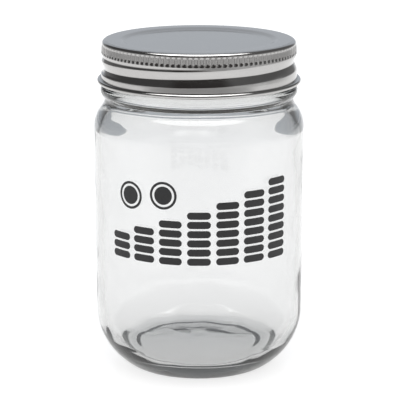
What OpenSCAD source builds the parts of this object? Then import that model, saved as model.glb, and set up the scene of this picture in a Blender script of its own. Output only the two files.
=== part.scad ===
// Glass coin jar with a one-piece metal screw lid.
// Millimetres. +Z is up and the origin is the centre of the ring that the jar stands on.
// -Y is the printed front. The lid's thread is right-handed: it unscrews anticlockwise seen from above.

/* [Jar] */
// Outer diameter of the straight glass wall
body_d = 77; // [76:0.5:79]
// Height of the glass, from the table to its rim
jar_h = 119.8; // [116:0.1:124]
// Thickness of the straight glass wall
wall_t = 2.4; // [2:0.1:3]
// Height of the glass floor's inside above the table
floor_z = 6.6; // [5:0.1:8]
// Height at which the straight wall starts to curve in to the heel
heel_h = 20; // [18:0.5:23]

/* [Neck] */
// Diameter across the ridge of the neck's thread
ridge_d = 69.3; // [69:0.1:69.5]
// Diameter of the neck between its threads
neck_d = 66.8; // [66:0.1:67]
// Diameter of the mouth's bore
mouth_d = 60.6; // [58:0.2:61]
// Rise of the thread in one full turn
thread_pitch = 5.5; // [5.4:0.1:5.8]
// Full turns of thread ridge on the neck
ridge_turns = 1.35; // [1.1:0.05:1.4]

/* [Lid] */
// Outer diameter of the lid across its knurls
lid_d = 71.1; // [71:0.1:72]
// Height of the lid, from its curled edge to its top
lid_h = 15.65; // [15.4:0.05:16]
// Thickness of the lid's sheet metal
metal_t = 0.25; // [0.2:0.01:0.3]
// Number of knurls round the lid
knurls = 112; // [96:4:120]
// Depth of the thread groove rolled into the skirt
groove_depth = 1.15; // [1.05:0.05:1.2]
// Thickness of the sealing ring
liner_t = 0.9; // [0.6:0.05:1.1]

/* [Print] */
// Width of one printed coin, measured round the wall
coin_w = 8.4; // [6:0.1:9]
// Height of one printed coin
coin_h = 2.6; // [2:0.1:3]
// Coins in each printed stack, from left to right
stacks = [3, 4, 5, 6, 7, 8, 9];

/* [Hidden] */
$fn = 96;
fine = 12;  // steps in each arc of a turned outline

// Glass, outside
body_r = body_d / 2;
heel_r = 23.6;      // large arc from the straight wall into the heel
toe_r = 3;          // small arc from the heel to the standing ring
ring_w = 2.2;       // width of the flat standing ring
push_up = 1.4;      // rise of the underside just inside the standing ring
push_up_run = 3;    // width of that rise
dome = 1;           // further rise of the underside to its middle
shoulder_z = jar_h - 30.7;  // top of the straight wall
shoulder_r = 12;
throat_r = 34.6;    // narrowest outside radius, between shoulder and bead
throat_fillet = 3;
bead_z = jar_h - 17.1;      // ring of glass just below the lid
bead_r = 2.8;
bead_axis_r = 33.2;
bead_fillet_low = 1;
bead_fillet_high = 0.8;
rim_r_out = 1.1;
rim_r_in = 0.8;

// Glass, inside
bore_r = mouth_d / 2;
inner_r = body_r - wall_t;
inner_heel_z = 20;
inner_heel_r = 18.4;
inner_toe_r = 3;
inner_dome = 0.8;
inner_shoulder_low = shoulder_z - 1.6;
inner_shoulder_high = bead_z - 1.2;

// Thread ridge on the neck
ridge_h = (ridge_d - neck_d) / 2;
ridge_half_w = 1.3;
ridge_root = 0.5;       // how far the ridge's foot is sunk in the neck
ridge_top = 1.9;        // from the rim down to the ridge's upper end
ridge_steps = 40;       // steps in a turn
ridge_fade = 0.12;      // turns over which each end dies away
ridge_above_groove = 2.1;  // from the groove's deepest line up to the middle of the ridge

// Lid
rim_gap = 0.05;         // from the glass rim to the sealing ring
lid_top = jar_h + rim_gap + liner_t + metal_t;
lid_r = lid_d / 2;
knurl_depth = 0.35;
knurl_top = lid_top - 1.5;
knurl_low = lid_top - 4.8;
knurl_ledge = 0.3;      // plain ring under the knurls
knurl_bevel = 0.35;     // height of the slope that closes each flute, below and above
knurl_inner_r = lid_r - knurl_depth - 0.3;
knurl_crest_r = lid_r - 0.04;
top_edge_w = 1.6;       // the rounded edge of the top: its width, seen from above
top_edge_h = 1.3;       // and its height
panel_r = 26.4;         // sunken middle of the lid's top
panel_slope = 2.4;
panel_drop = 0.8;
skirt_top_r = lid_r;
skirt_low_r = lid_r + 0.2;
skirt_top = knurl_low;
skirt_low = lid_top - 12.2;
curl_r = 0.85;
curl_z = lid_top - lid_h + curl_r;
curl_axis_r = skirt_low_r - metal_t + curl_r;
curl_gap = 28;          // degrees left open where the curl meets the skirt

// Thread groove in the skirt
groove_front_z = lid_top - 3.6;  // height of the groove where it starts under the knurls, at the front
groove_lead = 0.06;     // turns it has already run there
groove_turns = 1.5;     // turns from there to its lower end
groove_up = 3;          // half-width above the groove's deepest line
groove_down = 2.7;      // half-width below it
groove_fade = 0.1;
groove_clear = 1.3;     // height over which it fades out towards the knurls
groove_clear_low = 0.8; // and towards the plain foot of the skirt
skirt_columns = 72;
skirt_rows = 18;
join = 0.2;             // how far the threaded wall runs into its neighbours
join_gap = 0.07;        // how far short of them its full thickness ends
join_inset = 0.05;      // how much thinner it is from there on, on each side

// Print
ink_t = 0.25;
coin_gap = 0.75;
stack_pitch = coin_w + 1.85;
print_low = 46.4;
face_coin_r = 5;

// Points on an arc, both ends included
function arc(x, y, r, from, to, steps = fine) =
    [for (i = [0:steps]) let (a = from + (to - from) * i / steps) [x + r * cos(a), y + r * sin(a)]];

// A quarter of an oval w wide and h high, from its top to its side
function quarter(x, z, w, h, steps = 8) =
    [for (i = [0:steps]) let (a = 90 - 90 * i / steps) [x + w * cos(a), z + h * sin(a)]];

// A smooth S from p to q, level or upright at both ends: along = 0 eases the height, 1 the radius
function ease(p, q, along, steps = fine) =
    [for (i = [0:steps]) let (t = i / steps, s = (1 - cos(180 * t)) / 2)
        along == 0 ? [p.x + (q.x - p.x) * t, p.y + (q.y - p.y) * s]
                   : [p.x + (q.x - p.x) * s, p.y + (q.y - p.y) * t]];

// Two arcs from a floor at height z up to an upright wall: the small one first
function heel(wall, top, z, big, small) =
    let (a = asin((top - z - small) / (big - small)),
         foot = wall - big + (big - small) * cos(a))
    concat(arc(foot, z + small, small, -90, -a), arc(wall - big, top, big, -a, 0));

function heel_foot(wall, top, z, big, small) =
    wall - big + (big - small) * cos(asin((top - z - small) / (big - small)));

stand_r = heel_foot(body_r, heel_h, 0, heel_r, toe_r);
floor_r = heel_foot(inner_r, inner_heel_z, floor_z, inner_heel_r, inner_toe_r);
neck_r = neck_d / 2;

// Outside of the glass, from the middle of the underside to the rim
function glass_outside() =
    let (ring_in = stand_r - ring_w,
         dome_r = ring_in - push_up_run,
         throat_x = throat_r + throat_fillet,
         shoulder_x = body_r - shoulder_r,
         lean = acos((throat_x - shoulder_x) / (shoulder_r + throat_fillet)),
         throat_z = shoulder_z + (shoulder_r + throat_fillet) * sin(lean),
         low_x = throat_r + bead_fillet_low - bead_axis_r,
         low_a = acos(low_x / (bead_r + bead_fillet_low)),
         low_z = bead_z - (bead_r + bead_fillet_low) * sin(low_a),
         high_x = neck_r + bead_fillet_high - bead_axis_r,
         high_a = acos(high_x / (bead_r + bead_fillet_high)),
         high_z = bead_z + (bead_r + bead_fillet_high) * sin(high_a))
    concat(
        [for (i = [0:6]) let (r = dome_r * i / 6) [r, push_up + dome * (1 - pow(r / dome_r, 2))]],
        ease([dome_r, push_up], [ring_in, 0], 0),
        heel(body_r, heel_h, 0, heel_r, toe_r),
        arc(shoulder_x, shoulder_z, shoulder_r, 0, lean),
        arc(throat_x, throat_z, throat_fillet, 180 + lean, 180, 6),
        arc(throat_r + bead_fillet_low, low_z, bead_fillet_low, 180, 180 - low_a, 4),
        arc(bead_axis_r, bead_z, bead_r, -low_a, high_a),
        arc(neck_r + bead_fillet_high, high_z, bead_fillet_high, 180 + high_a, 180, 4),
        arc(neck_r - rim_r_out, jar_h - rim_r_out, rim_r_out, 0, 90, 6));

function reversed(points) = [for (i = [len(points) - 1:-1:0]) points[i]];

// The whole turned outline: the outside, then the rim, the bore, the wall's inside and the floor
function glass_outline() = concat(
    glass_outside(),
    arc(bore_r + rim_r_in, jar_h - rim_r_in, rim_r_in, 90, 180, 6),
    ease([bore_r, inner_shoulder_high], [inner_r, inner_shoulder_low], 1),
    reversed(heel(inner_r, inner_heel_z, floor_z, inner_heel_r, inner_toe_r)),
    [for (i = [5:-1:0]) let (r = floor_r * i / 6) [r, floor_z + inner_dome * (1 - pow(r / floor_r, 2))]]);

module glass_jar() {
    color([0.86, 0.9, 0.9, 0.4]) union() {
        rotate_extrude() polygon(glass_outline());
        thread_ridge();
    }
}

// The ridge is one closed tube of 6 sides that winds down round the neck and sinks into it at both ends.
module thread_ridge() {
    rings = round(ridge_turns * ridge_steps);
    // how much of its full height the ridge has at ring i
    function swell(i) = let (t = i / ridge_steps) min(1, t / ridge_fade, (ridge_turns - t) / ridge_fade);
    top_z = jar_h - ridge_top;
    start_a = -90 - 360 * (groove_front_z + ridge_above_groove - top_z) / thread_pitch;
    section = [[-ridge_half_w, -ridge_root], [-ridge_half_w, -0.02], [-0.55, 1], [0.55, 1],
               [ridge_half_w, -0.02], [ridge_half_w, -ridge_root]];
    sides = len(section);
    points = [for (i = [0:rings]) let (a = start_a - 360 * i / ridge_steps,
                                       z = top_z - thread_pitch * i / ridge_steps)
        for (p = section)
            let (out = p.y == 1 ? -0.1 + (ridge_h + 0.1) * swell(i) : p.y)
            [(neck_r + out) * cos(a), (neck_r + out) * sin(a), z + p.x]];
    faces = concat(
        [for (i = [0:rings - 1]) for (k = [0:sides - 1]) let (n = (k + 1) % sides)
            each [[i * sides + k, (i + 1) * sides + n, i * sides + n],
                  [i * sides + k, (i + 1) * sides + k, (i + 1) * sides + n]]],
        [[for (k = [0:sides - 1]) k]],
        [[for (k = [sides - 1:-1:0]) rings * sides + k]]);
    polyhedron(points, faces, convexity = 6);
}

// Outside radius of the skirt's wall at angle a and height z: a cylinder with the groove pressed in
function groove_shape(s) =
    s >= groove_up || s <= -groove_down ? 0
    : s > 0 ? (1 + cos(180 * s / groove_up)) / 2
            : (1 + cos(180 * s / groove_down)) / 2;

function groove_at(a, z) =
    max([for (turn = [-1:ceil(groove_turns)])
        let (t = (-90 - a + 360 * turn) / 360,  // turns from the front
             fade = min(1, (t + groove_lead) / groove_fade, (groove_turns - t) / groove_fade))
        fade <= 0 ? 0 : fade * groove_shape(z - groove_front_z + thread_pitch * t)])
    * min(1, max(0, (skirt_top - z) / groove_clear)) * min(1, max(0, (z - skirt_low) / groove_clear_low));

function skirt_r(a, z) =
    let (t = (skirt_top - z) / (skirt_top - skirt_low))
    skirt_top_r + (skirt_low_r - skirt_top_r) * min(1, max(0, t)) - groove_depth * groove_at(a, z);

// The threaded part of the skirt: a sheet-metal tube whose ends run a little way into the plain parts
module threaded_wall() {
    run = skirt_top - skirt_low - 4 * join_gap;
    zs = concat([skirt_top + join, skirt_top - join_gap],
                [for (j = [0:skirt_rows]) skirt_top - 2 * join_gap - run * j / skirt_rows],
                [skirt_low + join_gap, skirt_low - join]);
    rows = len(zs);
    step = 360 / skirt_columns;
    // the end rows are set in from the plain parts' surfaces
    function inset(j) = j <= 1 || j >= rows - 2 ? join_inset : 0;
    function level(z) = min(skirt_top, max(skirt_low, z));
    points = concat(
        [for (j = [0:rows - 1]) for (c = [0:skirt_columns - 1])
            let (a = -90 - c * step, r = skirt_r(a, level(zs[j])) - inset(j))
            [r * cos(a), r * sin(a), zs[j]]],
        [for (j = [0:rows - 1]) for (c = [0:skirt_columns - 1])
            let (a = -90 - c * step, r = skirt_r(a, level(zs[j])) - metal_t + inset(j) * 2)
            [r * cos(a), r * sin(a), zs[j]]]);
    inner = rows * skirt_columns;
    function at(j, c) = j * skirt_columns + c % skirt_columns;
    faces = concat(
        [for (j = [0:rows - 2]) for (c = [0:skirt_columns - 1])
            each [[at(j, c), at(j + 1, c + 1), at(j, c + 1)], [at(j, c), at(j + 1, c), at(j + 1, c + 1)]]],
        [for (j = [0:rows - 2]) for (c = [0:skirt_columns - 1])
            each [[inner + at(j, c), inner + at(j, c + 1), inner + at(j + 1, c + 1)],
                  [inner + at(j, c), inner + at(j + 1, c + 1), inner + at(j + 1, c)]]],
        [for (c = [0:skirt_columns - 1])
            each [[at(0, c), at(0, c + 1), inner + at(0, c + 1)],
                  [at(0, c), inner + at(0, c + 1), inner + at(0, c)],
                  [at(rows - 1, c), inner + at(rows - 1, c + 1), at(rows - 1, c + 1)],
                  [at(rows - 1, c), inner + at(rows - 1, c), inner + at(rows - 1, c + 1)]]]);
    polyhedron(points, faces, convexity = 8);
}

// Sunken panel, flat outer ring and rounded edge, down to the knurls
module lid_top_panel() {
    edge_x = lid_r - top_edge_w;
    edge_z = lid_top - top_edge_h;
    panel_under = lid_top - panel_drop - metal_t;
    top = concat(
        [[0, lid_top - panel_drop]],
        ease([panel_r, lid_top - panel_drop], [panel_r + panel_slope, lid_top], 0, 8),
        quarter(edge_x, edge_z, top_edge_w, top_edge_h));
    under = concat(
        [[lid_r, knurl_top + 0.1], [knurl_crest_r - knurl_depth - 0.05, knurl_top + 0.1 - knurl_bevel],
         [knurl_inner_r, knurl_top + 0.1 - knurl_bevel]],
        reversed(quarter(edge_x, edge_z, knurl_inner_r - edge_x, top_edge_h - metal_t)),
        reversed(ease([panel_r, panel_under], [panel_r + panel_slope, lid_top - metal_t], 0, 8)),
        [[0, panel_under]]);
    rotate_extrude() polygon(concat(top, under));
}

// A ring whose outside has one flute for each knurl; a sloped ledge closes each flute below
module knurled_band() {
    step = 360 / knurls;
    foot_r = knurl_crest_r - knurl_depth - 0.05;
    flutes = [for (i = [0:knurls - 1]) each [
        for (p = [[-0.5, 0], [-0.22, 1], [0, 1], [0.28, 0]])
            let (a = step * (i + p.x), r = knurl_crest_r - knurl_depth * p.y) [r * cos(a), r * sin(a)]]];
    translate([0, 0, knurl_low + 0.1]) difference() {
        linear_extrude(knurl_top - knurl_low) polygon(flutes);
        translate([0, 0, -1]) cylinder(r = knurl_inner_r + 0.05, h = lid_h);
    }
    rotate_extrude() polygon([
        [knurl_inner_r, knurl_low], [skirt_top_r, knurl_low], [skirt_top_r, knurl_low + knurl_ledge],
        [foot_r, knurl_low + knurl_ledge + knurl_bevel], [foot_r, knurl_top + 0.1],
        [knurl_inner_r, knurl_top + 0.1]]);
}

// Plain foot of the skirt and the edge curled outwards
module curled_edge() {
    rotate_extrude() union() {
        translate([skirt_low_r - metal_t, curl_z]) square([metal_t, skirt_low - curl_z]);
        translate([curl_axis_r, curl_z]) difference() {
            circle(r = curl_r, $fn = 48);
            circle(r = curl_r - metal_t, $fn = 48);
            polygon([[0, 0], [-2 * curl_r, 0], [-2 * curl_r, 2 * curl_r * tan(curl_gap)]]);
        }
    }
}

module lid_shell() {
    color("silver") union() {
        lid_top_panel();
        knurled_band();
        threaded_wall();
        curled_edge();
    }
}

// Soft ring flowed into the corner of the lid, where the glass rim meets it
module lid_sealing_ring() {
    low = lid_top - metal_t - liner_t;
    high = lid_top - metal_t;
    outer = knurl_inner_r - 0.1;
    color("gainsboro") rotate_extrude() polygon([
        [bore_r - 0.4, high], [bore_r, low + 0.2], [bore_r + 0.3, low], [outer - 0.5, low],
        [outer, low + 0.25], [outer - 0.35, high - 0.3], [outer - 0.9, high]]);
}

// One printed coin seen from its edge: a bar with round ends
module coin_bar() {
    translate([-(coin_w - coin_h) / 2, 0]) square([coin_w - coin_h, coin_h]);
    for (side = [-1, 1]) translate([side * (coin_w - coin_h) / 2, coin_h / 2]) circle(d = coin_h);
}

// One printed coin seen from its face: a disc in a ring
module coin_face() {
    circle(r = face_coin_r * 0.66);
    difference() {
        circle(r = face_coin_r);
        circle(r = face_coin_r * 0.82);
    }
}

// Puts a flat drawing on the wall, at a distance round it from the middle of the front
module on_wall(along, z) {
    rotate([0, 0, along / body_r * 180 / PI]) translate([0, -body_r + 4, z]) rotate([90, 0, 0])
        linear_extrude(8) children();
}

module front_print() {
    color([0.18, 0.18, 0.19]) intersection() {
        difference() {
            translate([0, 0, print_low - 5]) cylinder(r = body_r + ink_t, h = 45);
            translate([0, 0, print_low - 6]) cylinder(r = body_r, h = 47);
        }
        union() {
            for (s = [0:len(stacks) - 1]) for (n = [0:stacks[s] - 1])
                on_wall((s - (len(stacks) - 1) / 2) * stack_pitch, print_low + n * (coin_h + coin_gap))
                    coin_bar();
            on_wall(-2.55 * stack_pitch, print_low + 23.6) coin_face();
            on_wall(-1.25 * stack_pitch, print_low + 24.9) coin_face();
        }
    }
}

glass_jar();
lid_shell();
lid_sealing_ring();
front_print();
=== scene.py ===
import math

import bpy
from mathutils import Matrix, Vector, noise


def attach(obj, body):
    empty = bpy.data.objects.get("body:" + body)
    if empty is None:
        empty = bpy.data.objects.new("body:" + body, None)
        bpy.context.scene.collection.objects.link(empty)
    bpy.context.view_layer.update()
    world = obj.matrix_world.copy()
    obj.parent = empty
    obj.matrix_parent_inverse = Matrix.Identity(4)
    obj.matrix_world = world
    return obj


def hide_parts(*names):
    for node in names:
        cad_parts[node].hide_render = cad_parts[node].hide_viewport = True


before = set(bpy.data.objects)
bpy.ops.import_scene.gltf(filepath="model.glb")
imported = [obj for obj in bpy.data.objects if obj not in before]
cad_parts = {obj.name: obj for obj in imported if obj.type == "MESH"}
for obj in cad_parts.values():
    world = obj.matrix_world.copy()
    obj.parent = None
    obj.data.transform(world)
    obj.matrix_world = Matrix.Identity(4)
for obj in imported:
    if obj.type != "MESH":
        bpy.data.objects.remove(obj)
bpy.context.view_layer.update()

MM = 0.001
TAU = 2 * math.pi
FRONT = -math.pi / 2  # the printed side faces -Y

# ---------------------------------------------------------------- sizes, in mm, as in the CAD model
BODY_R = 38.5
JAR_H = 119.8
INNER_R = 36.1
SHOULDER_Z = 89.1
SHOULDER_R = 12.0
THROAT_R = 34.6
BEAD_Z = 102.7
BEAD_R = 2.8
BEAD_AXIS_R = 33.2
NECK_R = 33.4
BORE_R = 30.3
FLOOR_Z = 6.6  # height of the glass floor's edge
PUSH_UP = 1.4  # rise of the underside just inside the standing ring
PUSH_UP_RUN = 3  # width of that rise
OUTER_DOME = 1  # further rise of the underside to its middle
INNER_DOME = 0.8
SHOULDER_IN_LOW, SHOULDER_IN_HIGH = 87.5, 101.5  # the wall's inside narrows between these heights
WAVE = 0.16  # unevenness of the glass inside
PITCH = 5.5
RIDGE_TURNS = 1.35
RIDGE_H = 1.25
RIDGE_TOP = JAR_H - 1.9  # middle of the ridge's upper end
THREAD_FADE = 0.12  # turns over which the ridge and the groove's end die away
LID_TOP = 121.0
LID_H = 15.65
LID_R = 35.55
METAL = 0.25
LINER = 0.9  # thickness of the sealing ring
PANEL_R, PANEL_EDGE_R = 26.4, 28.8  # foot and top of the slope round the sunken panel
PANEL_DROP = 0.8
GROOVE_FRONT_Z = LID_TOP - 3.6
GROOVE_DEPTH = 1.15
GROOVE_LEAD = 0.06  # turns it has run before the front
GROOVE_TURNS = 1.5
GROOVE_UP, GROOVE_DOWN = 3, 2.7  # half-widths above and below its deepest line
EDGE_W = 1.6
EDGE_H = 1.3
KNURL_TOP = LID_TOP - 1.4
KNURL_LOW = LID_TOP - 4.8
KNURL_LEAN = 0.25  # how far the knurled band leans in at its top
KNURL_DEPTH = 0.45
KNURLS = 112
SKIRT_LOW = LID_TOP - 12.2
SKIRT_FLARE = 0.2  # how much wider the skirt is at its foot
CURL_R = 0.85
FIRST_INSIDE_RUN = 8  # the first run of the lid's outline that lies inside the lid


# ---------------------------------------------------------------- outlines
def arc(cx, cz, r, start, end, steps):
    """Points (radius, height) on an arc, angles in degrees."""
    out = []
    for i in range(steps + 1):
        a = math.radians(start + (end - start) * i / steps)
        out.append((cx + r * math.cos(a), cz + r * math.sin(a)))
    return out


def quarter(x, z, w, h, steps):
    """A quarter of an oval w wide and h high, from its top to its side."""
    turns = [math.pi / 2 * i / steps for i in range(steps + 1)]
    return [(x + w * math.sin(a), z + h * math.cos(a)) for a in turns]


def line(p, q, steps):
    return [(p[0] + (q[0] - p[0]) * i / steps, p[1] + (q[1] - p[1]) * i / steps) for i in range(steps + 1)]


def ease(p, q, along, steps):
    """A smooth S from p to q: along 0 eases the height, 1 the radius."""
    out = []
    for i in range(steps + 1):
        t = i / steps
        s = (1 - math.cos(math.pi * t)) / 2
        tr, tz = (t, s) if along == 0 else (s, t)
        out.append((p[0] + (q[0] - p[0]) * tr, p[1] + (q[1] - p[1]) * tz))
    return out


def heel(wall, top, z, big, small, steps):
    """Two arcs from a floor at height z up to an upright wall."""
    a = math.asin((top - z - small) / (big - small))
    foot = wall - big + (big - small) * math.cos(a)
    deg = math.degrees(a)
    return arc(foot, z + small, small, -90, -deg, steps) + arc(wall - big, top, big, -deg, 0, steps * 2)


def joined(*runs):
    """The runs end to end, without repeated points."""
    out = []
    for run in runs:
        for p in run:
            if not out or math.dist(p, out[-1]) > 1e-4:
                out.append(p)
    return out


def smooth01(t):
    t = min(1.0, max(0.0, t))
    return t * t * (3 - 2 * t)


# ---------------------------------------------------------------- meshes
def ring_mesh(name, rows, counts, place):
    """A closed mesh of rings: rows[i] is (radius, height) and counts[i] its number of points.

    place(i, r, z, a) gives a point's own (r, z). A row of radius 0 is one point.
    Neighbouring rings may differ by a factor of 2 or 4.
    """
    verts, rings = [], []
    for i, (r, z) in enumerate(rows):
        if r == 0:
            rings.append([len(verts)])
            verts.append((0, 0, z * MM))
            continue
        ring = []
        for k in range(counts[i]):
            a = FRONT + TAU * place.turn(i, k, counts[i])
            pr, pz = place(i, r, z, a)
            ring.append(len(verts))
            verts.append((pr * math.cos(a) * MM, pr * math.sin(a) * MM, pz * MM))
        rings.append(ring)
    faces = []
    for low, high in zip(rings, rings[1:]):
        n, m = len(low), len(high)
        if n == 1:
            faces += [(low[0], high[(k + 1) % m], high[k]) for k in range(m)]
        elif m == 1:
            faces += [(low[k], low[(k + 1) % n], high[0]) for k in range(n)]
        elif n == m:
            faces += [(low[k], low[(k + 1) % n], high[(k + 1) % m], high[k]) for k in range(n)]
        elif n < m:
            faces += [f for k in range(n) for f in fan(low, high, k, m // n, True)]
        else:
            faces += [f for k in range(m) for f in fan(high, low, k, n // m, False)]
    mesh = bpy.data.meshes.new(name)
    mesh.from_pydata(verts, [], faces)
    mesh.validate()
    mesh.polygons.foreach_set("use_smooth", [True] * len(mesh.polygons))
    obj = bpy.data.objects.new(name, mesh)
    bpy.context.scene.collection.objects.link(obj)
    return obj


def fan(coarse, fine, k, ratio, flip):
    """The triangles between one segment of a coarse ring and its share of a finer one."""
    a, b = coarse[k], coarse[(k + 1) % len(coarse)]
    f = [fine[(k * ratio + i) % len(fine)] for i in range(ratio + 1)]
    half = ratio // 2
    tris = [(a, f[i], f[i + 1]) for i in range(half)] + [(a, f[half], b)]
    tris += [(b, f[i], f[i + 1]) for i in range(half, ratio)]
    return [(p, r, q) for p, q, r in tris] if flip else tris


class Place:
    """Where a ring's points go: even spacing and no displacement unless a subclass says otherwise."""

    def turn(self, i, k, n):
        return k / n

    def __call__(self, i, r, z, a):
        return r, z


def finish_piece(obj, body, node, material, sharp=None):
    obj.data.materials.append(material)
    if sharp:
        obj.data.set_sharp_from_angle(angle=math.radians(sharp))
    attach(obj, body)
    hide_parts(node)
    return obj


# ---------------------------------------------------------------- materials
class Nodes:
    """Short ways to add and link nodes in one material or world."""

    def __init__(self, owner):
        owner.use_nodes = True
        self.tree = owner.node_tree
        self.tree.nodes.clear()

    def add(self, kind, inputs=None, **props):
        node = self.tree.nodes.new(kind)
        for key, value in props.items():
            setattr(node, key, value)
        for key, value in (inputs or {}).items():
            if isinstance(value, bpy.types.NodeSocket):
                self.tree.links.new(value, node.inputs[key])
            else:
                node.inputs[key].default_value = value
        return node

    def math(self, op, a, b=0.0):
        node = self.add("ShaderNodeMath", operation=op)
        for i, v in enumerate((a, b)):
            if isinstance(v, bpy.types.NodeSocket):
                self.tree.links.new(v, node.inputs[i])
            else:
                node.inputs[i].default_value = v
        return node.outputs[0]

    def step(self, value, low, high, out_low=0.0, out_high=1.0):
        node = self.add("ShaderNodeMapRange", interpolation_type="SMOOTHSTEP")
        self.tree.links.new(value, node.inputs["Value"])
        for key, v in (("From Min", low), ("From Max", high), ("To Min", out_low), ("To Max", out_high)):
            node.inputs[key].default_value = v
        return node.outputs["Result"]

    def ramp(self, value, stops):
        node = self.add("ShaderNodeValToRGB")
        self.tree.links.new(value, node.inputs["Fac"])
        elements = node.color_ramp.elements
        while len(elements) < len(stops):
            elements.new(0.5)
        for e, (pos, colour) in zip(elements, stops):
            e.position = pos
            e.color = (*colour, 1)
        return node.outputs["Color"]

    def mix(self, factor, a, b):
        node = self.add("ShaderNodeMix", data_type="RGBA")
        for i, v in ((0, factor), (6, a), (7, b)):
            if isinstance(v, bpy.types.NodeSocket):
                self.tree.links.new(v, node.inputs[i])
            else:
                node.inputs[i].default_value = (*v, 1) if isinstance(v, tuple) else v
        return node.outputs[2]


def clear_glass():
    m = bpy.data.materials.new("clear_glass")
    n = Nodes(m)
    co = n.add("ShaderNodeTexCoord").outputs["Object"]
    swirl = n.add("ShaderNodeTexNoise", {"Vector": co, "Scale": 70.0, "Detail": 2.0, "Roughness": 0.45})
    bump = n.add("ShaderNodeBump", {"Strength": 0.12, "Distance": 0.0004, "Height": swirl.outputs["Fac"]})
    shader = n.add("ShaderNodeBsdfPrincipled", {
        "Base Color": (0.98, 0.98, 0.98, 1), "Roughness": 0.0, "IOR": 1.52,
        "Transmission Weight": 1.0, "Normal": bump.outputs["Normal"]})
    body = n.add("ShaderNodeVolumeAbsorption", {"Color": (0.75, 0.755, 0.75, 1), "Density": 130.0})
    n.add("ShaderNodeOutputMaterial", {"Surface": shader.outputs[0], "Volume": body.outputs[0]})
    return m


def tinplate():
    m = bpy.data.materials.new("tinplate")
    n = Nodes(m)
    co = n.add("ShaderNodeTexCoord").outputs["Object"]
    rolled = n.add("ShaderNodeMapping", {"Vector": co, "Scale": (18.0, 420.0, 420.0)})
    grain = n.add("ShaderNodeTexNoise", {
        "Vector": rolled.outputs[0], "Scale": 3.0, "Detail": 4.0, "Roughness": 0.6})
    cloud = n.add("ShaderNodeTexNoise", {"Vector": co, "Scale": 60.0, "Detail": 2.0})
    fine, broad = n.math("MULTIPLY", grain.outputs["Fac"], 0.6), n.math("MULTIPLY", cloud.outputs["Fac"], 0.4)
    tone = n.math("ADD", fine, broad)
    inside = n.add("ShaderNodeAttribute", attribute_name="inside").outputs["Fac"]
    colour = n.ramp(tone, [(0.3, (0.52, 0.512, 0.505)), (0.7, (0.57, 0.562, 0.555))])
    # The lid's inside is made dark brown-grey and rougher: painted shade for the hollow under the lid.
    colour = n.mix(inside, colour, (0.16, 0.15, 0.13))
    rough = n.math("ADD", n.step(tone, 0.3, 0.7, 0.09, 0.14), n.math("MULTIPLY", inside, 0.25))
    bump = n.add("ShaderNodeBump", {"Strength": 0.08, "Distance": 0.0002, "Height": grain.outputs["Fac"]})
    shader = n.add("ShaderNodeBsdfPrincipled", {
        "Base Color": colour, "Metallic": 1.0, "Roughness": rough, "Normal": bump.outputs["Normal"]})
    n.add("ShaderNodeOutputMaterial", {"Surface": shader.outputs[0]})
    return m


def sealing_compound():
    m = bpy.data.materials.new("sealing_compound")
    n = Nodes(m)
    co = n.add("ShaderNodeTexCoord").outputs["Object"]
    flow = n.add("ShaderNodeTexNoise", {"Vector": co, "Scale": 260.0, "Detail": 3.0})
    colour = n.ramp(flow.outputs["Fac"], [(0.3, (0.60, 0.585, 0.53)), (0.7, (0.68, 0.665, 0.61))])
    rough = n.step(flow.outputs["Fac"], 0.3, 0.7, 0.42, 0.6)
    bump = n.add("ShaderNodeBump", {"Strength": 0.15, "Distance": 0.0003, "Height": flow.outputs["Fac"]})
    shader = n.add("ShaderNodeBsdfPrincipled", {
        "Base Color": colour, "Roughness": rough, "IOR": 1.48, "Normal": bump.outputs["Normal"]})
    n.add("ShaderNodeOutputMaterial", {"Surface": shader.outputs[0]})
    return m


def print_ink():
    m = bpy.data.materials.new("print_ink")
    n = Nodes(m)
    co = n.add("ShaderNodeTexCoord").outputs["Object"]
    mesh_marks = n.add("ShaderNodeTexNoise", {"Vector": co, "Scale": 1500.0, "Detail": 2.0})
    cloud = n.add("ShaderNodeTexNoise", {"Vector": co, "Scale": 120.0, "Detail": 2.0})
    colour = n.ramp(cloud.outputs["Fac"], [(0.3, (0.0235, 0.0235, 0.025)), (0.7, (0.0285, 0.0285, 0.030))])
    rough = n.step(mesh_marks.outputs["Fac"], 0.35, 0.65, 0.42, 0.56)
    bump = n.add("ShaderNodeBump", {
        "Strength": 0.1, "Distance": 0.00005, "Height": mesh_marks.outputs["Fac"]})
    shader = n.add("ShaderNodeBsdfPrincipled", {
        "Base Color": colour, "Roughness": rough, "Normal": bump.outputs["Normal"]})
    n.add("ShaderNodeOutputMaterial", {"Surface": shader.outputs[0]})
    return m


def studio_floor():
    """White, lit from below like a light table, with a painted shadow under the jar's foot, and dimmer well
    in front of the jar.
    """
    m = bpy.data.materials.new("studio_floor")
    n = Nodes(m)
    co = n.add("ShaderNodeTexCoord").outputs["Object"]
    x, y, _ = n.add("ShaderNodeSeparateXYZ", {"Vector": co}).outputs
    grain = n.add("ShaderNodeTexNoise", {"Vector": co, "Scale": 14.0, "Detail": 2.0})
    colour = n.ramp(grain.outputs["Fac"], [(0.3, (0.19, 0.19, 0.19)), (0.7, (0.21, 0.21, 0.21))])
    out = n.add("ShaderNodeVectorMath", {0: co}, operation="LENGTH").outputs["Value"]
    aside = n.math("ABSOLUTE", x)
    shade = n.math("MULTIPLY", n.step(y, -0.16, -0.4), n.step(aside, 0.9, 0.5))
    # The glow drops from 0.84 to 0.61 under the jar's foot, a painted shadow under the jar, and falls to a
    # quarter towards the sides.
    lit = n.math("MULTIPLY", n.step(out, 0.024, 0.03, 0.61, 0.84), n.step(aside, 0.5, 1.0, 1.0, 0.25))
    glow = n.math("MULTIPLY", lit, n.math("SUBTRACT", 1.0, n.math("MULTIPLY", shade, 0.72)))
    shader = n.add("ShaderNodeBsdfPrincipled", {
        "Base Color": colour, "Roughness": 0.3, "IOR": 1.4,
        "Emission Color": (1, 1, 1, 1), "Emission Strength": glow})
    n.add("ShaderNodeOutputMaterial", {"Surface": shader.outputs[0]})
    return m


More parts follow.
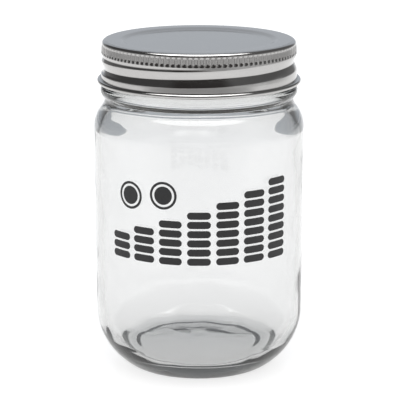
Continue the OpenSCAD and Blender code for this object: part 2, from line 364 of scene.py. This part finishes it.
# ---------------------------------------------------------------- the glass jar
def glass_rows():
    stand = heel(BODY_R, 20, 0, 23.6, 3, 8)
    ring_in = stand[0][0] - 2.2
    dome_r = ring_in - PUSH_UP_RUN
    shoulder_x, throat_x = BODY_R - SHOULDER_R, THROAT_R + 3
    lean = math.degrees(math.acos((throat_x - shoulder_x) / (SHOULDER_R + 3)))
    throat_z = SHOULDER_Z + (SHOULDER_R + 3) * math.sin(math.radians(lean))
    low_a = math.degrees(math.acos((THROAT_R + 1 - BEAD_AXIS_R) / (BEAD_R + 1)))
    low_z = BEAD_Z - (BEAD_R + 1) * math.sin(math.radians(low_a))
    high_a = math.degrees(math.acos((NECK_R + 0.8 - BEAD_AXIS_R) / (BEAD_R + 0.8)))
    high_z = BEAD_Z + (BEAD_R + 0.8) * math.sin(math.radians(high_a))
    dome = [(dome_r * i / 8, PUSH_UP + OUTER_DOME - OUTER_DOME * (i / 8) ** 2) for i in range(9)]
    outside = joined(
        dome, ease((dome_r, PUSH_UP), (ring_in, 0), 0, 14), line((ring_in, 0), (stand[0][0], 0), 4), stand,
        line((BODY_R, 20), (BODY_R, SHOULDER_Z), 24),
        arc(shoulder_x, SHOULDER_Z, SHOULDER_R, 0, lean, 20),
        arc(throat_x, throat_z, 3, 180 + lean, 180, 8),
        arc(THROAT_R + 1, low_z, 1, 180, 180 - low_a, 6),
        arc(BEAD_AXIS_R, BEAD_Z, BEAD_R, -low_a, high_a, 20),
        arc(NECK_R + 0.8, high_z, 0.8, 180 + high_a, 180, 5),
        line((NECK_R, high_z), (NECK_R, JAR_H - 1.1), 44),
        arc(NECK_R - 1.1, JAR_H - 1.1, 1.1, 0, 90, 8))
    inside = joined(
        arc(BORE_R + 0.8, JAR_H - 0.8, 0.8, 90, 180, 6),
        line((BORE_R, JAR_H - 0.8), (BORE_R, SHOULDER_IN_HIGH), 8),
        ease((BORE_R, SHOULDER_IN_HIGH), (INNER_R, SHOULDER_IN_LOW), 1, 28),
        line((INNER_R, SHOULDER_IN_LOW - 1), (INNER_R, 20), 30),
        heel(INNER_R, 20, FLOOR_Z, 18.4, 3, 12)[::-1])
    floor_r = inside[-1][0]
    inside += [(floor_r * i / 14, FLOOR_Z + INNER_DOME * (1 - (i / 14) ** 2)) for i in range(13, 0, -1)]
    return outside, inside + [(0, FLOOR_Z + INNER_DOME)]


class GlassPlace(Place):
    """The thread ridge on the neck, and the slight unevenness of pressed glass, mostly inside."""

    START = math.radians(-90 - 360 * (GROOVE_FRONT_Z + 2.1 - RIDGE_TOP) / PITCH)

    def __init__(self, first_inside):
        self.first_inside = first_inside

    def ridge(self, z, a):
        best = 0
        for turn in range(-1, 3):
            t = (self.START - a) / TAU + turn
            if 0 <= t <= RIDGE_TURNS:
                off = abs(z - (RIDGE_TOP - PITCH * t))
                fade = min(1, t / THREAD_FADE, (RIDGE_TURNS - t) / THREAD_FADE)
                best = max(best, smooth01((1.35 - off) / 0.85) * smooth01(fade))
        return RIDGE_H * best

    def __call__(self, i, r, z, a):
        at = Vector((math.cos(a) * r, math.sin(a) * r, z))
        if i < self.first_inside:
            if 106 < z < JAR_H - 0.6:
                return r + self.ridge(z, a), z
            if 8 < z < 96:
                return r - 0.05 * (0.5 + 0.5 * noise.noise(at / 17)), z
            return r, z
        wave = noise.noise(at / 15 + Vector((7, 3, 1))) + 0.5 * noise.noise(at / 6)
        if z > 101:
            return r, z
        if z > 11:
            return r - WAVE * wave * smooth01((101 - z) / 8), z
        return r, z + WAVE * wave


def build_glass():
    outside, inside = glass_rows()
    rows = outside + inside
    place = GlassPlace(len(outside))
    obj = ring_mesh("glass_jar_visual", rows, [192] * len(rows), place)
    return finish_piece(obj, "jar", "glass_jar", clear_glass())


# ---------------------------------------------------------------- the lid
def groove(z, a):
    """How deep the rolled thread is here, from 0 to 1."""
    best = 0
    for turn in range(-1, 3):
        t = (FRONT - a) / TAU + turn
        if -GROOVE_LEAD <= t <= GROOVE_TURNS:
            fade = smooth01(min(1, (t + GROOVE_LEAD) / 0.1, (GROOVE_TURNS - t) / THREAD_FADE))
            s = z - GROOVE_FRONT_Z + PITCH * t
            if 0 <= s < GROOVE_UP:
                depth = 1 - smooth01(s / GROOVE_UP) * 0.35 - 0.65 * (s / GROOVE_UP)
            elif -GROOVE_DOWN < s < 0:
                depth = (1 + s / GROOVE_DOWN) ** 1.2
            else:
                depth = 0
            best = max(best, depth * fade)
    return best * smooth01((KNURL_LOW - z) / 1.3) * smooth01((z - SKIRT_LOW) / 0.8)


def knurl(u):
    """How deep the flute between two knurls is at u of a pitch, from 0 to 1."""
    return smooth01((0.32 - abs(u - 0.5)) / 0.2)


class LidPlace(Place):
    """Flutes in the knurled band and the thread groove in the skirt."""

    SPREAD = (0.0, 0.18, 0.34, 0.5, 0.66, 0.82)

    def __init__(self, kinds):
        self.kinds = kinds

    def turn(self, i, k, n):
        per = n // KNURLS
        return (k // per + self.SPREAD[k % per * (6 // per)]) / KNURLS

    def __call__(self, i, r, z, a):
        kind = self.kinds[i]
        if kind == "knurl":
            u = ((a - FRONT) / TAU * KNURLS) % 1
            ends = smooth01((KNURL_TOP - z) / 0.5) * min(1, max(0, (z - KNURL_LOW) / 0.9))
            return r - KNURL_DEPTH * knurl(u) * ends, z
        if kind == "skirt":
            return r - GROOVE_DEPTH * groove(z, a), z
        return r, z


def skirt_r(z):
    return LID_R + SKIRT_FLARE * min(1, max(0, (KNURL_LOW - z) / 7.4))


def build_lid():
    """The outline runs over the outside from the middle of the top, round the curl and back inside."""
    curl_z, curl_x = LID_TOP - LID_H + CURL_R, 36.35
    crown_r = LID_R - KNURL_LEAN
    panel_z, under_z = LID_TOP - PANEL_DROP, LID_TOP - METAL
    under_panel_z = LID_TOP - PANEL_DROP - METAL
    coarse, fine = KNURLS * 3, KNURLS * 6
    runs = [
        ("plain", [(0, panel_z)] + [(r, panel_z) for r in (6, 12, 18, 22, 25)], coarse),
        ("plain", ease((PANEL_R, panel_z), (PANEL_EDGE_R, LID_TOP), 0, 10), coarse),
        ("plain", line((30.5, LID_TOP), (LID_R - EDGE_W, LID_TOP), 4), coarse),
        ("plain", quarter(crown_r - EDGE_W, LID_TOP - EDGE_H, EDGE_W, EDGE_H, 14)[1:-1], coarse),
        ("knurl", line((crown_r, LID_TOP - EDGE_H), (LID_R, KNURL_LOW), 18), fine),
        ("skirt", [(skirt_r(z / 100), z / 100) for z in range(11602, 10800, -18)], coarse),
        ("plain", [(skirt_r(z), z) for z in (107.8, 107.3, 106.95)], coarse),
        ("plain", arc(curl_x, curl_z, CURL_R, 128, -180, 26), coarse),
        ("plain", [(curl_x - CURL_R, z) for z in (106.6, 107.2, 107.9)], coarse),
        ("skirt", [(skirt_r(z / 100) - METAL, z / 100) for z in range(10830, 11610, 36)], coarse),
        ("plain", [(34.9, z) for z in (116.3, 118.0, 119.6)], coarse),
        ("plain", quarter(33.95, LID_TOP - EDGE_H, 0.95, EDGE_H - METAL, 6)[::-1], coarse),
        ("plain", line((33.5, under_z), (28.9, under_z), 3), coarse),
        ("plain", ease((PANEL_EDGE_R, under_z), (PANEL_R, under_panel_z), 0, 8), coarse),
        ("plain", [(r, under_panel_z) for r in (24, 16, 8)] + [(0, under_panel_z)], coarse),
    ]
    rows, counts, kinds, inside = [], [], [], []
    for i, (kind, points, n) in enumerate(runs):
        rows += points
        counts += [n] * len(points)
        kinds += [kind] * len(points)
        inside += [1.0 if i >= FIRST_INSIDE_RUN else 0.0] * len(points)
    for run in (rows, counts, kinds, inside):
        run.reverse()
    obj = ring_mesh("lid_shell_visual", rows, counts, LidPlace(kinds))
    # The inside rows carry the painted shade of the lid's hollow.
    inside_painted_shade = obj.data.attributes.new("inside", "FLOAT", "POINT")
    values = [v for (r, z), n, v in zip(rows, counts, inside) for _ in range(n if r else 1)]
    inside_painted_shade.data.foreach_set("value", values)
    return finish_piece(obj, "lid", "lid_shell", tinplate(), sharp=50)


# ---------------------------------------------------------------- the sealing ring
class RingPlace(Place):
    """The ring's soft underside is slightly wavy."""

    def __call__(self, i, r, z, a):
        if z < 120.4:
            at = Vector((math.cos(a), math.sin(a), z / 20))
            return r, z + 0.05 * (0.5 + 0.5 * noise.noise(at * 6))
        return r, z


def build_ring():
    low, high = LID_TOP - METAL - LINER, LID_TOP - METAL
    rows = joined(
        line((29.9, high), (30.2, low + 0.3), 3), line((30.3, low + 0.2), (30.8, low + 0.02), 3),
        line((31.2, low), (34.1, low), 10), line((34.4, low + 0.06), (34.78, low + 0.26), 4),
        line((34.7, low + 0.36), (34.43, high - 0.32), 3), line((33.88, high - 0.02), (30.2, high - 0.02), 4))
    rows.append(rows[0])
    obj = ring_mesh("lid_sealing_ring_visual", rows, [168] * len(rows), RingPlace())
    merge = obj.modifiers.new("merge", "WELD")
    merge.merge_threshold = 1e-6
    bake_modifiers(obj)
    compound = sealing_compound()
    return finish_piece(obj, "sealing_ring", "lid_sealing_ring", compound, sharp=40)


def bake_modifiers(obj):
    """Replaces the mesh by what its modifiers make."""
    graph = bpy.context.evaluated_depsgraph_get()
    mesh = bpy.data.meshes.new_from_object(obj.evaluated_get(graph))
    obj.modifiers.clear()
    obj.data = mesh


# ---------------------------------------------------------------- the print
COIN_W, COIN_H, COIN_GAP = 8.4, 2.6, 0.75
STACKS = (3, 4, 5, 6, 7, 8, 9)
STACK_PITCH = COIN_W + 1.85
PRINT_LOW = 46.4
FACE_COIN_R = 5.0
INK_IN, INK_OUT = 0.01, 0.07  # the ink's two sides, above the wall


def wrapped(x, z, out):
    """A point at distance x round the wall from the middle of the front."""
    a = FRONT + x / BODY_R
    return ((BODY_R + out) * math.cos(a) * MM, (BODY_R + out) * math.sin(a) * MM, z * MM)


def ink_strip(verts, faces, low, high, loop=False):
    """A thin closed pad of ink between two lines of (x, z) points of the same length.

    A loop meets itself and has no ends.
    """
    start, n = len(verts), len(low)
    for out in (INK_OUT, INK_IN):
        verts += [wrapped(x, z, out) for x, z in low] + [wrapped(x, z, out) for x, z in high]
    f, b = start, start + 2 * n
    for i in range(n - 1):
        faces.append((f + i, f + i + 1, f + n + i + 1, f + n + i))
        faces.append((b + i, b + n + i, b + n + i + 1, b + i + 1))
        faces.append((f + i, b + i, b + i + 1, f + i + 1))
        faces.append((f + n + i, f + n + i + 1, b + n + i + 1, b + n + i))
    for i in () if loop else (0, n - 1):
        side = (f + i, f + n + i, b + n + i, b + i)
        faces.append(side if i == 0 else side[::-1])


def coin_bar(verts, faces, x0, z0):
    """A coin seen edge on: a bar with round ends."""
    half, r = (COIN_W - COIN_H) / 2, COIN_H / 2
    turns = [math.radians(a) for a in range(178, 89, -8)]
    left = [(-half + r * math.cos(t), r * math.sin(t)) for t in turns]
    xs = [(x, h) for x, h in left] + [(-half + 2 * half * i / 12, r) for i in range(1, 12)]
    xs += [(-x, h) for x, h in left[::-1]]
    mid = z0 + r
    ink_strip(verts, faces, [(x0 + x, mid - h) for x, h in xs], [(x0 + x, mid + h) for x, h in xs])


def coin_face(verts, faces, x0, z0, radius):
    """A coin seen flat: a disc in a ring."""
    steps = 48
    xs = [-math.cos(math.pi * (i + 0.15) / 16.3) for i in range(17)]
    inner = radius * 0.66
    disc = [(x * inner, math.sqrt(max(0, 1 - x * x)) * inner) for x in xs]
    ink_strip(verts, faces, [(x0 + x, z0 - h) for x, h in disc], [(x0 + x, z0 + h) for x, h in disc])
    ring = [math.radians(360 * i / steps) for i in range(steps + 1)]
    ink_strip(verts, faces,
              [(x0 + math.cos(t) * radius, z0 + math.sin(t) * radius) for t in ring],
              [(x0 + math.cos(t) * radius * 0.82, z0 + math.sin(t) * radius * 0.82) for t in ring],
              loop=True)


def build_print():
    verts, faces = [], []
    middle = (len(STACKS) - 1) / 2
    for s, count in enumerate(STACKS):
        for k in range(count):
            coin_bar(verts, faces, (s - middle) * STACK_PITCH, PRINT_LOW + k * (COIN_H + COIN_GAP))
    coin_face(verts, faces, -2.55 * STACK_PITCH, PRINT_LOW + 23.6, FACE_COIN_R)
    coin_face(verts, faces, -1.25 * STACK_PITCH, PRINT_LOW + 24.9, FACE_COIN_R)
    mesh = bpy.data.meshes.new("front_print_visual")
    mesh.from_pydata(verts, [], faces)
    mesh.validate()
    obj = bpy.data.objects.new("front_print_visual", mesh)
    bpy.context.scene.collection.objects.link(obj)
    merge = obj.modifiers.new("merge", "WELD")
    merge.merge_threshold = 1e-7
    bake_modifiers(obj)
    return finish_piece(obj, "jar", "front_print", print_ink())


# ---------------------------------------------------------------- the studio
def studio_world():
    """A dark studio with a pale backdrop, a low glow all round and soft boxes overhead."""
    world = bpy.data.worlds.new("studio")
    bpy.context.scene.world = world
    n = Nodes(world)
    at = n.add("ShaderNodeSeparateXYZ", {"Vector": n.add("ShaderNodeTexCoord").outputs["Generated"]})
    x, y, z = at.outputs
    flat = n.math("SQRT", n.math("MAXIMUM", n.math("SUBTRACT", 1.0, n.math("MULTIPLY", z, z)), 0.0001))
    aside = n.math("DIVIDE", n.math("ABSOLUTE", x), flat)
    glow = n.step(z, 0.36, 0.02)
    left_right = n.step(x, -0.3, 0.3, 0.07, 0.13)
    level = n.step(y, 0.5, 0.2, 0.22, 0.5)
    sides = n.mix(glow, left_right, level)
    front = n.mix(glow, (0.04, 0.037, 0.036), (0.14, 0.13, 0.125))
    is_front = n.math("MULTIPLY", n.step(y, -0.1, -0.4), n.step(aside, 0.75, 0.45))
    colour = n.mix(is_front, sides, front)
    back = n.math("MULTIPLY", n.step(y, 0.1, 0.35), n.step(aside, 0.55, 0.34))
    colour = n.mix(back, colour, (0.52, 0.55, 0.59))
    above = n.math("MULTIPLY", n.step(z, 0.78, 0.86), n.step(y, -0.62, -0.5))
    above = n.math("MULTIPLY", above, n.step(y, 0.12, 0.0))
    colour = n.mix(above, colour, (5.0, 5.0, 5.0))
    colour = n.mix(n.step(z, 0.02, -0.02), colour, (1.0, 1.0, 1.0))
    shader = n.add("ShaderNodeBackground", {"Color": colour, "Strength": 1.0})
    n.add("ShaderNodeOutputWorld", {"Surface": shader.outputs[0]})


def build_stage():
    half = 4.0
    corners = [(-half, -half, 0), (half, -half, 0), (half, half, 0), (-half, half, 0)]
    mesh = bpy.data.meshes.new("studio_floor")
    mesh.from_pydata(corners, [], [(0, 1, 2, 3)])
    floor = bpy.data.objects.new("studio_floor", mesh)
    bpy.context.scene.collection.objects.link(floor)
    floor.location.z = -0.00005
    mesh.materials.append(studio_floor())


def build_camera():
    """The camera that was fitted to the photograph's outline."""
    data = bpy.data.cameras.new("camera")
    data.sensor_width = 36
    data.lens = 147.2
    data.clip_start = 0.02
    camera = bpy.data.objects.new("camera", data)
    bpy.context.scene.collection.objects.link(camera)
    camera.location = (0.00036, -0.58998, 0.21147)
    camera.rotation_euler = (math.radians(90 - 14.358), 0, 0)
    bpy.context.scene.camera = camera


build_glass()
build_lid()
build_ring()
build_print()
build_stage()
studio_world()
build_camera()
bpy.context.scene.view_settings.view_transform = "Standard"
